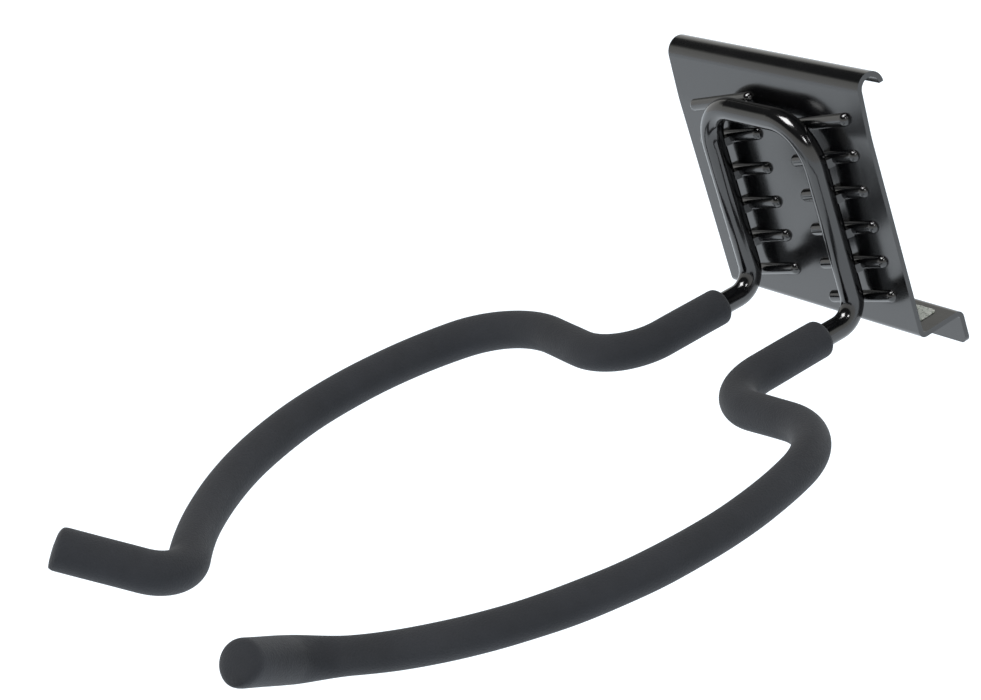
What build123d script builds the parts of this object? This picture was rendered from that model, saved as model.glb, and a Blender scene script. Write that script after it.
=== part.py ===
from build123d import *
from math import cos, radians, sin, tan
import os

# Bicycle wall rack: a stamped hook plate that hangs on a wall rail, with one bent
# rod welded to its raised ridges and a foam sleeve on each arm.
# Millimetres. +X is right seen from the front, +Y is into the wall, +Z is up.
# The origin is the middle of the plate's back face, half way up the rail it hooks on.

# ---- driving dimensions ----
plate_width = 102.0
sheet = 1.8
rail_height = 92.0          # shelf top to the seat under the curled edge
bend_outer_radius = 2.8
shelf_depth = 17.8          # plate back to the far side of the lip
lip_drop = 12.7             # shelf top to the lip's lower edge
lip_corner_radius = 2.5
lean_angle = 3.4            # the top of the plate leans back by this much
lean_radius = 60.0
lean_run = 14.0             # straight part between the lean and the curled edge
curl_outer_radius = 5.5

ridge_count = 6             # in each of the two columns
column_offset = 25.4        # column centre from the middle of the plate
ridge_pitch = 13.1
ridge_length = 37.6
ridge_width = 4.6
ridge_rise = 2.0
ridge_wall = 1.5
ridge_tilt = 12.5
first_ridge_up = 9.4        # shelf top to the lowest ridge's centre

rod_diameter = 8.0
leg_spacing = 55.6
crown_up = 77.0             # shelf top to the axis of the rod's top run
crown_radius = 16.0
arm_up = 5.4                # shelf top to the arm's axis where it leaves the leg
knee_radius = 8.5
arm_pitch = 1.8             # arms climb forward by this much
arm_splay = 2.9             # and outward by this much
neck_length = 34.0
neck_radius = 20.5
neck_turn = 91.0
cross_length = 17.8
shoulder_radius = 32.0
shoulder_turn = 70.8
bow_radius = 120.0
bow_turn = 75.3
tip_radius = 14.0
tip_length = 25.5
tip_out = 0.70              # tip direction: outward and up for each unit forward
tip_up = 0.82

sleeve_diameter = 13.2
sleeve_tip_diameter = 14.8
sleeve_gap = 7.0            # bare rod between the knee and the sleeve's mouth
sleeve_mouth_bevel = 1.3
sleeve_end_round = 2.2
sleeve_end_wall = 3.0
cap_wall = 1.0
cap_length = 24.0
cap_end_wall = 1.5
swell_length = 7.0

pad_width = 87.0
pad_depth = 8.5
pad_thickness = 0.5
pad_back_gap = 3.1          # pad to the lip's front
bead_inset = 1.2            # leg axis to the bead's root
bead_width = 3.0
bead_height = 1.8
bead_length = 3.0
bead_sink = 0.6             # how far a bead runs down the ridge's round sides

# ---- derived ----
shelf_top = -rail_height / 2
seat_top = rail_height / 2
front = -sheet
rod_radius = rod_diameter / 2
crest = front - ridge_rise
rod_y = crest - rod_radius
leg_x = leg_spacing / 2
crown_z = shelf_top + crown_up
arm_z = shelf_top + arm_up
ridge_heights = [shelf_top + first_ridge_up + ridge_pitch * i for i in range(ridge_count)]
run_low = arm_z + knee_radius
run_high = crown_z - crown_radius + bead_length / 2
welded_heights = [z for z in ridge_heights if run_low < z < run_high]
cap_radius = rod_radius + cap_wall
os.makedirs("parts", exist_ok=True)


def plate_profile():
    """Side view of the folded sheet as a closed face in the Y-Z plane."""
    bend_inner = bend_outer_radius - sheet
    face_low = shelf_top - sheet + bend_outer_radius
    curl_centre_z = seat_top + sheet - curl_outer_radius
    rise = curl_centre_z + curl_outer_radius * sin(radians(lean_angle))
    lean_drop = lean_radius * tan(radians(lean_angle / 2))
    lean_start = rise - lean_run * cos(radians(lean_angle)) - 2 * lean_drop
    face = Line((front, face_low), (front, lean_start))
    lean = JernArc(face @ 1, face % 1, lean_radius, -lean_angle)
    upper = PolarLine(lean @ 1, lean_run, direction=lean % 1)
    curl = JernArc(upper @ 1, upper % 1, curl_outer_radius, lean_angle - 180)
    foot = JernArc(face @ 0, (0, -1), bend_outer_radius, 90)
    lip_front = shelf_depth - sheet
    shelf = Line(foot @ 1, (lip_front - bend_inner, shelf_top - sheet))
    turn = JernArc(shelf @ 1, (1, 0), bend_inner, -90)
    lip = Line(turn @ 1, (lip_front, shelf_top - lip_drop))
    skin = Wire([face, lean, upper, curl, foot, shelf, turn, lip])
    return offset(skin, amount=sheet, side=Side.RIGHT, closed=True)


def tilted(x, z):
    """Work plane on the plate's front face, turned to the slope of the ridges."""
    slope = radians(ridge_tilt)
    return Plane((x, front, z), x_dir=(cos(slope), 0, sin(slope)), z_dir=(0, -1, 0))


def make_ridge():
    """One raised ridge: a round-topped bar with ball ends, and the slot pressed in behind it."""
    half = ridge_width / 2
    ball = (half**2 + ridge_rise**2) / (2 * ridge_rise)
    reach = ridge_length / 2 - half
    seat = Pos(0, 0, ridge_rise - ball)
    bar = Rot(0, 90, 0) * Cylinder(ball, 2 * reach)
    ends = Pos(-reach, 0, 0) * Sphere(ball) + Pos(reach, 0, 0) * Sphere(ball)
    slot_top = ridge_rise - ridge_wall
    slot_width = ridge_width - 2 * ridge_wall
    slot = Pos(0, 0, -sheet) * SlotCenterToCenter(2 * reach, slot_width)
    return seat * (bar + ends), extrude(slot, sheet + slot_top)


def make_backplate():
    """Folded sheet with two columns of slanting ridges."""
    plate = extrude(Plane.YZ * make_face(plate_profile().edges()), plate_width / 2, both=True)
    bar, slot = make_ridge()
    for side in (-1, 1):
        for z in ridge_heights:
            place = tilted(side * column_offset, z)
            plate += place * bar
            plate -= place * slot
    lip_ends = plate.edges().filter_by(Axis.Y).group_by(Axis.Z)[0]
    return fillet(lip_ends, lip_corner_radius)


def onward(path, radius, turn, toward):
    """Tangent arc from the end of a path, bending toward a direction."""
    start = path @ 1
    heading = path % 1
    plane = Plane(start, x_dir=heading, z_dir=heading.cross(toward))
    return plane * JernArc((0, 0), (1, 0), radius, turn)


def straight(path, length):
    """Straight run on from the end of a path."""
    return Line(path @ 1, path @ 1 + (path % 1) * length)


def arm_runs():
    """Axis of the right half of the rod, from the middle of the crown to the tip."""
    forward = Vector(0, -cos(radians(arm_pitch)), sin(radians(arm_pitch)))
    outward = Vector(cos(radians(arm_splay)), 0, sin(radians(arm_splay)))
    crown = Line((0, rod_y, crown_z), (leg_x - crown_radius, rod_y, crown_z))
    corner = onward(crown, crown_radius, 90, Vector(0, 0, -1))
    leg_length = crown_z - crown_radius - arm_z - knee_radius
    leg = straight(corner, leg_length)
    knee = onward(leg, knee_radius, 90 + arm_pitch, Vector(0, -1, 0))
    neck = straight(knee, neck_length)
    out = onward(neck, neck_radius, neck_turn, outward)
    cross_run = straight(out, cross_length)
    shoulder = onward(cross_run, shoulder_radius, shoulder_turn, forward)
    bow = onward(shoulder, bow_radius, bow_turn, (shoulder % 1).cross(outward.cross(forward)) * -1)
    tip_way = Vector(tip_out, -1, tip_up).normalized()
    tip_turn = (bow % 1).get_angle(tip_way)
    tip_bend = onward(bow, tip_radius, tip_turn, tip_way)
    tip = straight(tip_bend, tip_length)
    return [crown, corner, leg, knee, neck, out, cross_run, shoulder, bow, tip_bend, tip]


def tube(runs, radius):
    """Round bar along a list of tangent runs."""
    path = Wire(runs)
    start = runs[0]
    section = Plane(start @ 0, z_dir=start % 0) * Circle(radius)
    return sweep(section, path=path)


def make_sleeve(runs, rod, cap):
    """Foam sleeve: plain tube up to the tip bend, then a fatter closed end over the cap."""
    mouth, *middle, tip = runs
    base_radius = sleeve_diameter / 2
    end_radius = sleeve_tip_diameter / 2
    outer_start = Line(mouth @ 0 + (mouth % 0) * sleeve_gap, mouth @ 1)
    body = tube([outer_start, *middle], base_radius)
    collar = Plane(outer_start @ 0, z_dir=outer_start % 0)
    bevel = sleeve_mouth_bevel
    body -= collar * Cylinder(2 * base_radius, 2 * bevel)
    body += collar * Pos(0, 0, bevel / 2) * Cone(base_radius - bevel, base_radius, bevel)
    way = Plane(tip @ 0, z_dir=tip % 0)
    end_length = tip.length + cap_end_wall + sleeve_end_wall
    swell = way * Pos(0, 0, swell_length / 2) * Cone(base_radius, end_radius, swell_length)
    rest = end_length - swell_length
    end = Cylinder(end_radius, rest, align=(Align.CENTER, Align.CENTER, Align.MIN))
    end = fillet(end.edges().filter_by(GeomType.CIRCLE).sort_by(Axis.Z)[-1], sleeve_end_round)
    return body + swell + way * Pos(0, 0, swell_length) * end - rod - cap


def make_cap(tip, rod):
    """Push-on cap that covers the rod's cut end inside the sleeve."""
    end = Plane(tip @ 1, z_dir=tip % 1) * Pos(0, 0, cap_end_wall)
    shell = Cylinder(cap_radius, cap_length + cap_end_wall, align=(Align.CENTER, Align.CENTER, Align.MAX))
    shell = fillet(shell.edges().filter_by(GeomType.CIRCLE).sort_by(Axis.Z)[-1], cap_end_wall)
    return end * shell - rod


def make_beads(rod, plate, slope):
    """Weld beads on both sides of the right leg, on each ridge that its upright run crosses."""
    beads = []
    for z in welded_heights:
        height = z + slope * (leg_x - column_offset) * tan(radians(ridge_tilt))
        for side in (-1, 1):
            inner = leg_x + side * bead_inset
            outer = inner + side * bead_width
            low = crest + bead_sink
            high = crest - bead_height
            brow = outer - side * bead_height / 2
            shape = Polyline((inner, low), (outer, low), (brow, high), (inner, high))
            face = make_face([*shape.edges(), Line(shape @ 1, shape @ 0)])
            block = extrude(Plane.XY.offset(height) * face, bead_length / 2, both=True)
            beads += (block - rod - plate).solids()
    return Compound(beads)


def make_pad():
    """Thin pad stuck on top of the shelf, under the rail's lower edge."""
    y = shelf_depth - sheet - pad_back_gap - pad_depth / 2
    return Pos(0, y, shelf_top + pad_thickness / 2) * Box(pad_width, pad_depth, pad_thickness)


arm = arm_runs()
half_rod = tube(arm, rod_radius)
rod_frame = half_rod + mirror(half_rod, about=Plane.YZ)
cap_right = make_cap(arm[-1], half_rod)
sleeve_right = make_sleeve(arm[4:], half_rod, cap_right)
backplate = make_backplate()
beads_right = make_beads(half_rod, backplate, 1)
beads_left = mirror(make_beads(half_rod, mirror(backplate, about=Plane.YZ), -1), about=Plane.YZ)

nodes = {
    "backplate": backplate,
    "rod_frame": rod_frame,
    "foam_sleeve_right": sleeve_right,
    "foam_sleeve_left": mirror(sleeve_right, about=Plane.YZ),
    "end_cap_right": cap_right,
    "end_cap_left": mirror(cap_right, about=Plane.YZ),
    "weld_beads_right": beads_right,
    "weld_beads_left": beads_left,
    "shelf_pad": make_pad(),
}
for name, shape in nodes.items():
    shape.label = name
    export_step(shape, f"parts/{name}.step")
    box = shape.bounding_box()
    print(name, len(shape.solids()), round(shape.volume), box.min, box.max)
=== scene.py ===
# %% [markdown]
# # A bicycle wall rack in Blender
#
# The object is a folded steel hook plate with one bent rod welded to it. The rod
# splits into two arms, and each arm wears a foam sleeve that holds a bicycle without
# scratching it. This lesson takes the measured model as its frame, gives every
# surface a finish, and rebuilds the soft pieces.

# %% Load the measured model
import bmesh
import bpy
from math import cos, pi, radians, sin, tau
from mathutils import Matrix, Quaternion, Vector
from mathutils import noise as field


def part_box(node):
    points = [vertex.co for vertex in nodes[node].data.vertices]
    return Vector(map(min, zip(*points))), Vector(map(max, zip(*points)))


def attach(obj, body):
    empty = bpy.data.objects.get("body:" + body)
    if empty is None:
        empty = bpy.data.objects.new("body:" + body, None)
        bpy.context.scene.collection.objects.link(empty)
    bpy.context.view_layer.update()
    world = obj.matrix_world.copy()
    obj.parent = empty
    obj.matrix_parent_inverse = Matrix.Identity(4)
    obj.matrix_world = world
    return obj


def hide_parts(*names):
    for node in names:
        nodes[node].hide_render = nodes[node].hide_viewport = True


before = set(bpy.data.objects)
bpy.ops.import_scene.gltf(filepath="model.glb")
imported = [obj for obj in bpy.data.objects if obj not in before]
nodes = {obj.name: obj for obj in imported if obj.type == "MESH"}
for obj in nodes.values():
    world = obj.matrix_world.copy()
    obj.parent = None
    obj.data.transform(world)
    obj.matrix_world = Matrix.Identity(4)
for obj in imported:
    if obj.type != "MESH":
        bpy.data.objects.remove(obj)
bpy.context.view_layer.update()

mm = 0.001
print("nodes:", sorted(nodes))

# %% [markdown]
# ## The camera
#
# A product shot like this one is taken with a long lens from the right of the
# object and above it. A camera could be aimed with a constraint, but here its three
# axes are written out from two angles and a tilt, so every value can be read and
# changed. The tilt leans the upright edges of the plate, as a hand-held camera does.

# %% Camera
camera_place = Vector((0.728256, -0.489543, 0.374109))
camera_around = radians(63.6533)
camera_height = radians(24.4562)
camera_tilt = radians(-18.855)
camera_lens = 102.0

backward = Vector((
    sin(camera_around) * cos(camera_height),
    -cos(camera_around) * cos(camera_height),
    sin(camera_height),
))
level_right = (-backward).cross(Vector((0, 0, 1))).normalized()
level_up = backward.cross(level_right)
right = level_right * cos(camera_tilt) + level_up * sin(camera_tilt)
up = level_up * cos(camera_tilt) - level_right * sin(camera_tilt)

camera_data = bpy.data.cameras.new("studio_camera")
camera_data.lens = camera_lens
camera_data.sensor_width = 36
camera_data.clip_start = 0.05
camera_data.clip_end = 60
camera = bpy.data.objects.new("studio_camera", camera_data)
bpy.context.scene.collection.objects.link(camera)
turn = Matrix((right, up, backward)).transposed()
camera.matrix_world = Matrix.Translation(camera_place) @ turn.to_4x4()
bpy.context.scene.camera = camera
print("camera is", round(camera_place.length, 3), "m from the plate")

# %% [markdown]
# ## The floor and the light
#
# The rack hangs on a wall rail, so nothing stands under it. A pale floor a good way
# below keeps its shadow faint, and gives the gloss black coat something bright to
# mirror. It glows a little, like a lit table, so that it stays evenly white. The
# light is what makes black paint readable: a bright floor and horizon, a dimmer
# ceiling, and soft boxes that draw the long highlights on the bent rod.

# %% Floor
floor_depth = 0.60
floor_size = 30.0
shape = bmesh.new()
bmesh.ops.create_grid(shape, x_segments=8, y_segments=8, size=floor_size / 2)
bmesh.ops.translate(shape, verts=shape.verts, vec=(0, 0, -floor_depth))
floor_mesh = bpy.data.meshes.new("studio_floor")
shape.to_mesh(floor_mesh)
shape.free()
floor = bpy.data.objects.new("studio_floor", floor_mesh)
bpy.context.scene.collection.objects.link(floor)

floor_paint = bpy.data.materials.new("pale_floor")
floor_paint.use_nodes = True
surface = floor_paint.node_tree.nodes["Principled BSDF"]
surface.inputs["Base Color"].default_value = (0.30, 0.30, 0.30, 1)
surface.inputs["Roughness"].default_value = 0.9
surface.inputs["Emission Color"].default_value = (0.86, 0.93, 1.0, 1)
surface.inputs["Emission Strength"].default_value = 1.12
floor_mesh.materials.append(floor_paint)
print("floor lies", floor_depth, "m below the middle of the rail")

# %% Soft surroundings
world = bpy.data.worlds.new("studio_surroundings")
bpy.context.scene.world = world
world.use_nodes = True
sky = world.node_tree.nodes
links = world.node_tree.links
direction = sky.new("ShaderNodeTexCoord")
split = sky.new("ShaderNodeSeparateXYZ")
ramp = sky.new("ShaderNodeValToRGB")
links.new(direction.outputs["Generated"], split.inputs["Vector"])
links.new(split.outputs["Z"], ramp.inputs["Fac"])
links.new(ramp.outputs["Color"], sky["Background"].inputs["Color"])
ramp.color_ramp.elements[0].position = 0.0
ramp.color_ramp.elements[0].color = (1, 1, 1, 1)
ramp.color_ramp.elements[1].position = 0.53
ramp.color_ramp.elements[1].color = (0.05, 0.05, 0.05, 1)
middle = ramp.color_ramp.elements.new(0.44)
middle.color = (0.80, 0.80, 0.76, 1)
sky["Background"].inputs["Strength"].default_value = 1.0
bpy.context.scene.view_settings.view_transform = "Standard"
print("horizon is brighter than the ceiling")

# %% Soft boxes
def soft_box(name, place, aim, width, height, power):
    """A rectangular studio lamp at a place, turned towards a point."""
    data = bpy.data.lights.new(name, "AREA")
    data.shape = "RECTANGLE"
    data.size = width
    data.size_y = height
    data.energy = power
    lamp = bpy.data.objects.new(name, data)
    bpy.context.scene.collection.objects.link(lamp)
    lamp.location = place
    lamp.rotation_euler = (Vector(aim) - Vector(place)).to_track_quat("-Z", "Y").to_euler()
    print(name, "shines with", power, "W")
    return lamp


soft_box("overhead_box", (-0.3, -0.5, 3.4), (0, -0.1, 0), 1.6, 1.6, 105)
soft_box("side_box", (2.2, -0.6, 2.2), (0, -0.1, 0), 0.5, 0.5, 12)

# %% [markdown]
# ## Gloss black powder coat
#
# The plate, the rod and the welds are dipped in one gloss black powder coat. Baked
# powder isn't a perfect mirror: it flows into a fine orange peel, and its gloss
# drifts a little from place to place. Noise drives both, one fine layer as a bump
# and one broad layer in the roughness. A slow shift in the black keeps large faces
# from looking like one flat fill.

# %% Helpers for materials
def fresh_material(name):
    """An empty node material with its shader, ready for textures."""
    made = bpy.data.materials.new(name)
    made.use_nodes = True
    return made, made.node_tree.nodes, made.node_tree.links


def cloud(tree, link, scale, detail=3, rough=0.5):
    """Noise over the object's own space, in features per metre."""
    place = tree.get("Own space")
    if place is None:
        place = tree.new("ShaderNodeTexCoord")
        place.name = "Own space"
    texture = tree.new("ShaderNodeTexNoise")
    texture.inputs["Scale"].default_value = scale
    texture.inputs["Detail"].default_value = detail
    texture.inputs["Roughness"].default_value = rough
    link.new(place.outputs["Object"], texture.inputs["Vector"])
    return texture.outputs["Fac"]


def spread(tree, link, source, low, high, start=0.3, end=0.7):
    """Maps a texture's middle range onto low to high."""
    node = tree.new("ShaderNodeMapRange")
    node.inputs["From Min"].default_value = start
    node.inputs["From Max"].default_value = end
    node.inputs["To Min"].default_value = low
    node.inputs["To Max"].default_value = high
    link.new(source, node.inputs["Value"])
    return node.outputs["Result"]


def two_tone(tree, link, source, dark, light, start=0.35, end=0.65):
    """Colour ramp between two tones, driven by a texture."""
    node = tree.new("ShaderNodeValToRGB")
    node.color_ramp.elements[0].position = start
    node.color_ramp.elements[0].color = (*dark, 1)
    node.color_ramp.elements[1].position = end
    node.color_ramp.elements[1].color = (*light, 1)
    link.new(source, node.inputs["Fac"])
    return node.outputs["Color"]


def relief(tree, link, source, depth, base=None):
    """Bump from a texture, depth in metres, on top of an earlier bump if there is one."""
    node = tree.new("ShaderNodeBump")
    node.inputs["Distance"].default_value = depth
    node.inputs["Strength"].default_value = 1.0
    link.new(source, node.inputs["Height"])
    if base is not None:
        link.new(base, node.inputs["Normal"])
    return node.outputs["Normal"]


print("helpers ready")

# %% Powder coat
def powder_coat(name, gloss, peel_depth):
    """Gloss black coat: drifting gloss, orange peel, and a slow shift of tone."""
    made, tree, link = fresh_material(name)
    skin = tree["Principled BSDF"]
    drift = cloud(tree, link, 38, 4, 0.6)
    tone = cloud(tree, link, 17, 2, 0.5)
    peel = cloud(tree, link, 900, 2, 0.5)
    waves = cloud(tree, link, 210, 2, 0.4)
    dark, light = (0.0016, 0.0017, 0.0021), (0.0032, 0.0033, 0.0038)
    link.new(two_tone(tree, link, tone, dark, light), skin.inputs["Base Color"])
    link.new(spread(tree, link, drift, gloss * 0.85, gloss * 1.2), skin.inputs["Roughness"])
    first = relief(tree, link, waves, peel_depth * 3)
    link.new(relief(tree, link, peel, peel_depth, first), skin.inputs["Normal"])
    skin.inputs["IOR"].default_value = 1.72
    print(name, "has a gloss of", gloss)
    return made


plate_coat = powder_coat("black_powder_coat_sheet", 0.16, 0.000003)
rod_coat = powder_coat("black_powder_coat_rod", 0.14, 0.000003)
weld_coat = powder_coat("black_powder_coat_weld", 0.26, 0.00002)

# %% [markdown]
# The measured model brings its own plain materials. Each node keeps its shape, and
# only its material slots are filled again with the new coats.

# %% Paint the steel
def paint(node_name, finish):
    """Fills every material slot of a measured node with one finish."""
    mesh = nodes[node_name].data
    mesh.materials.clear()
    mesh.materials.append(finish)
    print(node_name, "is painted with", finish.name)


paint("backplate", plate_coat)
paint("rod_frame", rod_coat)
paint("weld_beads_right", weld_coat)
paint("weld_beads_left", weld_coat)

# %% [markdown]
# ## Vinyl caps
#
# A push-on vinyl cap covers each cut end of the rod, deep inside the foam. It never
# shows, but a finish costs little: soft vinyl is duller than the coat, with a faint
# grain from its dipping.

# %% Vinyl
cap_vinyl, tree, link = fresh_material("dipped_black_vinyl")
skin = tree["Principled BSDF"]
grain = cloud(tree, link, 1400, 2, 0.5)
dark, light = (0.016, 0.016, 0.017), (0.026, 0.026, 0.027)
link.new(two_tone(tree, link, cloud(tree, link, 90), dark, light), skin.inputs["Base Color"])
link.new(spread(tree, link, grain, 0.5, 0.65), skin.inputs["Roughness"])
link.new(relief(tree, link, grain, 0.00001), skin.inputs["Normal"])
paint("end_cap_right", cap_vinyl)
paint("end_cap_left", cap_vinyl)

# %% [markdown]
# ## The foam's finish
#
# The sleeves are closed-cell foam, a matte charcoal with a hint of blue. Close up it
# has pores well under a millimetre, and its skin is mottled where it was handled.
# Cells come from a Voronoi texture and the mottling from two noises. It has no gloss
# to speak of, only a faint velvet sheen at a grazing angle.

# %% Foam
foam, tree, link = fresh_material("charcoal_foam")
skin = tree["Principled BSDF"]
own_space = cloud(tree, link, 26, 4, 0.6)
blotches = cloud(tree, link, 95, 3, 0.6)
dust = cloud(tree, link, 1500, 2, 0.5)
pores_per_metre = 1500
cells = tree.new("ShaderNodeTexVoronoi")
cells.feature = "F1"
cells.inputs["Scale"].default_value = pores_per_metre
link.new(tree["Own space"].outputs["Object"], cells.inputs["Vector"])

mix = tree.new("ShaderNodeMix")
mix.data_type = "FLOAT"
mix.inputs["Factor"].default_value = 0.45
link.new(own_space, mix.inputs["A"])
link.new(blotches, mix.inputs["B"])
mottle = mix.outputs["Result"]
dark, light = (0.015, 0.0165, 0.020), (0.024, 0.026, 0.031)
link.new(two_tone(tree, link, mottle, dark, light, 0.38, 0.64), skin.inputs["Base Color"])
link.new(spread(tree, link, blotches, 0.82, 0.95), skin.inputs["Roughness"])
pores = relief(tree, link, cells.outputs["Distance"], 0.00009)
pores = relief(tree, link, dust, 0.00004, pores)
link.new(relief(tree, link, blotches, 0.0002, pores), skin.inputs["Normal"])
skin.inputs["Sheen Weight"].default_value = 0.08
skin.inputs["Sheen Roughness"].default_value = 0.6
skin.inputs["Specular IOR Level"].default_value = 0.3
print("foam pores are", round(1000 / pores_per_metre, 2), "mm apart")

# %% [markdown]
# ## The arm's line
#
# Both the foam and the rod follow one line: straight pieces joined by bends, as the
# bar comes off a bending machine. Rather than draw the line by eye, each bend is
# given as the maker sets it, with a radius, an angle and the way it turns. Walking
# along these steps gives the sleeve's centre line.

# %% Steps of the bending machine
leg_x = 27.8 * mm
rod_y = -7.8 * mm
knee_top = -32.1 * mm
knee_radius = 8.5 * mm
arm_climb = radians(1.8)
arm_spread = radians(2.9)
forward = Vector((0, -cos(arm_climb), sin(arm_climb)))
outward = Vector((cos(arm_spread), 0, sin(arm_spread)))
tip_way = Vector((0.70, -1, 0.82)).normalized()


def bend(line, radius, angle, toward, stride=1.2 * mm):
    """Goes on from the line's end round a bend that turns toward a direction."""
    place, way, walked = line[-1]
    axis = way.cross(toward).normalized()
    centre = place + axis.cross(way) * radius
    count = max(4, round(radius * angle / stride))
    for i in range(1, count + 1):
        swung = angle * i / count
        spin = Quaternion(axis, swung)
        spot = centre + spin @ (place - centre)
        line.append((spot, spin @ way, walked + radius * swung))


def run(line, length, stride=1.2 * mm):
    """Goes straight on from the line's end."""
    place, way, walked = line[-1]
    count = max(2, round(length / stride))
    for i in range(1, count + 1):
        gone = length * i / count
        line.append((place + way * gone, way, walked + gone))


print("knee starts", round(-knee_top / mm, 1), "mm below the middle of the rail")

# %% Walk along the right arm
mouth_gap = 7.0 * mm
neck_length = 27.0 * mm
neck_radius, neck_turn = 20.5 * mm, radians(91.0)
cross_length = 17.8 * mm
shoulder_radius, shoulder_turn = 32.0 * mm, radians(70.8)
bow_bend_radius, bow_turn = 120.0 * mm, radians(75.3)
tip_bend_radius = 14.0 * mm
tip_length = 30.0 * mm

knee_end = Vector((leg_x, rod_y - knee_radius, knee_top))
knee_end -= Vector((0, sin(arm_climb), cos(arm_climb))) * knee_radius
arm_line = [(knee_end + forward * mouth_gap, forward, 0.0)]
run(arm_line, neck_length)
bend(arm_line, neck_radius, neck_turn, outward)
run(arm_line, cross_length)
bend(arm_line, shoulder_radius, shoulder_turn, forward)
way = arm_line[-1][1]
bend(arm_line, bow_bend_radius, bow_turn, outward.cross(forward).cross(way))
tip_start = arm_line[-1][2]
bend(arm_line, tip_bend_radius, arm_line[-1][1].angle(tip_way), tip_way)
run(arm_line, tip_length)
print("arm line is", round(arm_line[-1][2] / mm, 1), "mm long")
print("its tip is at", [round(v / mm, 1) for v in arm_line[-1][0]])

# %% [markdown]
# ## Foam sleeves
#
# A sleeve is a soft tube pushed over the arm. A curve with a round bevel would be
# quick, but a real sleeve isn't that even: its mouth is cut with a chamfer, it
# fattens over the cap, and its end is worn round on top while its underside stays
# nearly straight. So it is built ring by ring, with the radius of each ring
# worked out from how far along the arm it lies.

# %% Radius along the sleeve
whole = arm_line[-1][2]
mouth_radius = 6.6 * mm
tip_radius = 7.4 * mm
rod_radius = 4.0 * mm


def ease(x):
    """Soft step from 0 to 1."""
    x = min(1.0, max(0.0, x))
    return x * x * (3 - 2 * x)


def sleeve_radius(walked, bow_radius):
    """Radius of the sleeve at a distance from its mouth."""
    along = ease((walked - 30 * mm) / (110 * mm))
    radius = mouth_radius + (bow_radius - mouth_radius) * along
    swell = ease((walked - tip_start) / (20 * mm))
    return radius + (tip_radius - radius) * swell


print("sleeve grows from", mouth_radius * 2 / mm, "to", tip_radius * 2 / mm, "mm")

# %% Build one sleeve
def build_sleeve(name, side, bow_radius, end_round, seed):
    """A foam sleeve as rings along the arm, closed at the tip and open at the mouth."""
    spokes = 40
    shape = bmesh.new()
    rings = []

    def ring(place, across, over, radius, ripple=0.0):
        made = []
        for k in range(spokes):
            angle = tau * k / spokes
            spoke = across * cos(angle) + over * sin(angle)
            wobble = field.noise((place + spoke * radius) * 55 + Vector((seed, 0, 0))) * ripple
            spot = place + spoke * (radius + wobble)
            made.append(shape.verts.new((side * spot.x, spot.y, spot.z)))
        rings.append(made)

    across = Vector((0, 0, 1)).cross(forward).normalized()
    over = forward.cross(across)
    before = forward
    place, way, walked = arm_line[0]
    ring(place + way * 6 * mm, across, over, rod_radius + 0.15 * mm)
    ring(place + way * 0.6 * mm, across, over, rod_radius + 0.15 * mm)
    ring(place, across, over, rod_radius + 0.5 * mm)
    ring(place, across, over, mouth_radius - 1.3 * mm)
    ring(place + way * 0.25 * mm, across, over, mouth_radius - 1.0 * mm)
    ring(place + way * 1.2 * mm, across, over, mouth_radius - 0.12 * mm)
    for place, way, walked in arm_line:
        if walked < 2 * mm or walked > whole - end_round:
            continue
        turn = before.rotation_difference(way)
        across = turn @ across
        over = turn @ over
        before = way
        ring(place, across, over, sleeve_radius(walked, bow_radius), 0.16 * mm)
    last, way, walked = arm_line[-1]
    start = last - way * end_round
    down = (way * way.z - Vector((0, 0, 1))).normalized()
    lowest = down * end_round * 0.8
    for i in range(1, 8):
        angle = pi / 2 * i / 7
        shrink = 1 - cos(angle)
        spot = start + way * end_round * sin(angle) * 0.8 + lowest * shrink
        ring(spot, across, over, tip_radius - end_round * shrink, 0.1 * mm)
    flat = last - way * end_round * 0.2 + lowest
    for share in (0.62, 0.35):
        ring(flat + way * 0.25 * mm, across, over, (tip_radius - end_round) * share, 0.1 * mm)
    for a, b in zip(rings, rings[1:]):
        for k in range(spokes):
            shape.faces.new((a[k], a[(k + 1) % spokes], b[(k + 1) % spokes], b[k]))
    middle = flat + way * 0.25 * mm
    hub = shape.verts.new((side * middle.x, middle.y, middle.z))
    for k in range(spokes):
        shape.faces.new((rings[-1][k], rings[-1][(k + 1) % spokes], hub))
    bmesh.ops.recalc_face_normals(shape, faces=shape.faces)
    for face in shape.faces:
        face.smooth = True
    mesh = bpy.data.meshes.new(name)
    shape.to_mesh(mesh)
    shape.free()
    mesh.materials.append(foam)
    piece = bpy.data.objects.new(name, mesh)
    bpy.context.scene.collection.objects.link(piece)
    smoother = piece.modifiers.new("smoother", "SUBSURF")
    smoother.levels = 1
    smoother.render_levels = 1
    print(name, "has", len(mesh.vertices), "points")
    return piece


sleeve_right = build_sleeve(
    "padded_sleeve_right", side=1, bow_radius=6.1 * mm, end_round=5.8 * mm, seed=3.0)
sleeve_left = build_sleeve(
    "padded_sleeve_left", side=-1, bow_radius=7.1 * mm, end_round=3.0 * mm, seed=11.0)

# %% Put the sleeves on the rack
for piece, node in ((sleeve_right, "foam_sleeve_right"), (sleeve_left, "foam_sleeve_left")):
    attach(piece, "root")
    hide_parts(node)
    print(piece.name, "stands for", node)

# %% [markdown]
# ## The pad on the shelf
#
# A thin pale strip is stuck to the shelf, so that the rail doesn't rattle on steel.
# It is felt-like and speckled, with corners cut round and an edge that lies down
# into its glue. A box would look like a tile, so the strip gets rounded corners, a
# slightly crowned top and small waves.

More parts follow.
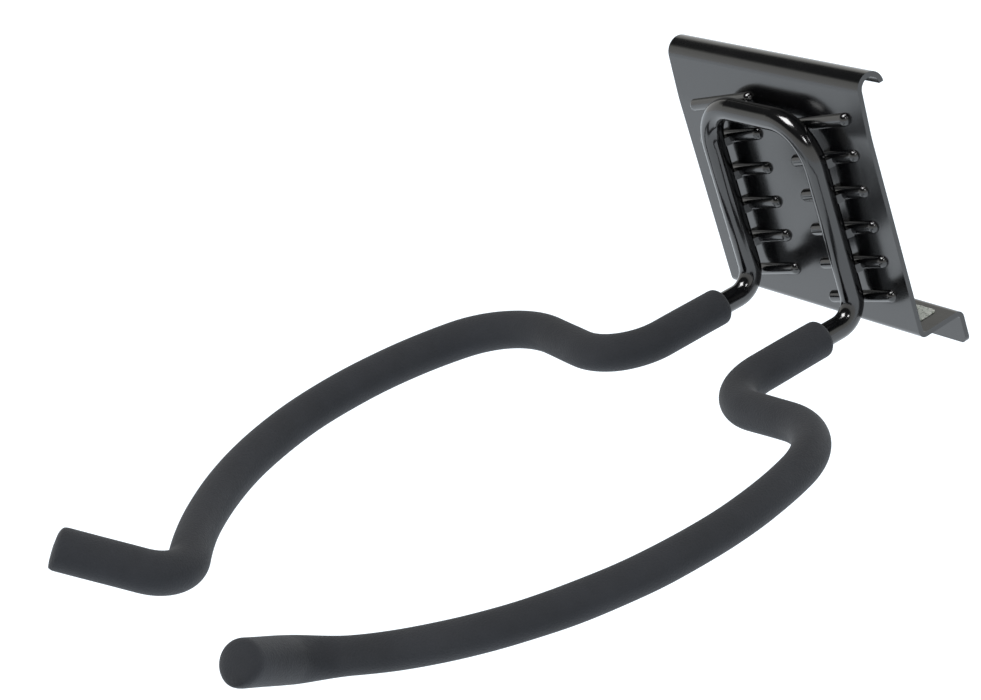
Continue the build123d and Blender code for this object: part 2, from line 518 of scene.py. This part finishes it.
# %% Speckled finish
speckle, tree, link = fresh_material("speckled_pad")
skin = tree["Principled BSDF"]
broad = cloud(tree, link, 160, 3, 0.6)
flecks = cloud(tree, link, 1100, 2, 0.6)
ground = two_tone(tree, link, broad, (0.78, 0.82, 0.76), (0.92, 0.95, 0.89), 0.35, 0.65)
dark = two_tone(tree, link, flecks, (0.35, 0.38, 0.34), (1.0, 1.0, 1.0), 0.40, 0.47)
blend = tree.new("ShaderNodeMix")
blend.data_type = "RGBA"
blend.blend_type = "MULTIPLY"
blend.inputs["Factor"].default_value = 0.8
link.new(ground, blend.inputs["A"])
link.new(dark, blend.inputs["B"])
link.new(blend.outputs["Result"], skin.inputs["Base Color"])
link.new(spread(tree, link, broad, 0.7, 0.9), skin.inputs["Roughness"])
link.new(relief(tree, link, flecks, 0.00008), skin.inputs["Normal"])
print("pad is pale with darker flecks")

# %% Build the pad
low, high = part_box("shelf_pad")
middle = (low + high) / 2
half_x = (high.x - low.x) / 2
half_y = (high.y - low.y) / 2
thickness = high.z - low.z
corner = 1.6 * mm
sunk = 0.02 * mm


def pad_outline(inset, steps=6):
    """Rounded rectangle round the pad's middle, pulled in by an inset."""
    points = []
    reach = corner - inset
    for quarter in range(4):
        sx = 1 if quarter in (0, 3) else -1
        sy = 1 if quarter in (0, 1) else -1
        for i in range(steps + 1):
            angle = pi / 2 * (quarter + i / steps)
            x = sx * (half_x - corner) + cos(angle) * reach
            y = sy * (half_y - corner) + sin(angle) * reach
            points.append((x, y))
    return points


shape = bmesh.new()
layers = []
for inset, height in ((0.0, 0.0), (0.0, 0.7), (0.12 * mm, 0.94), (0.4 * mm, 1.0)):
    layer = []
    for x, y in pad_outline(inset):
        wave = 0.03 * mm * field.noise(Vector((x * 160, y * 160, 4.0))) if height > 0.9 else 0.0
        z = low.z + thickness * height + wave - sunk
        layer.append(shape.verts.new((middle.x + x, middle.y + y, z)))
    layers.append(layer)
for a, b in zip(layers, layers[1:]):
    for k in range(len(a)):
        shape.faces.new((a[k], a[(k + 1) % len(a)], b[(k + 1) % len(a)], b[k]))
shape.faces.new(layers[-1])
shape.faces.new(list(reversed(layers[0])))
bmesh.ops.recalc_face_normals(shape, faces=shape.faces)
mesh = bpy.data.meshes.new("speckled_shelf_pad")
shape.to_mesh(mesh)
shape.free()
mesh.materials.append(speckle)
pad = bpy.data.objects.new("speckled_shelf_pad", mesh)
bpy.context.scene.collection.objects.link(pad)
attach(pad, "root")
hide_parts("shelf_pad")
print("pad is", round(half_x * 2 / mm, 1), "by", round(half_y * 2 / mm, 1), "mm")
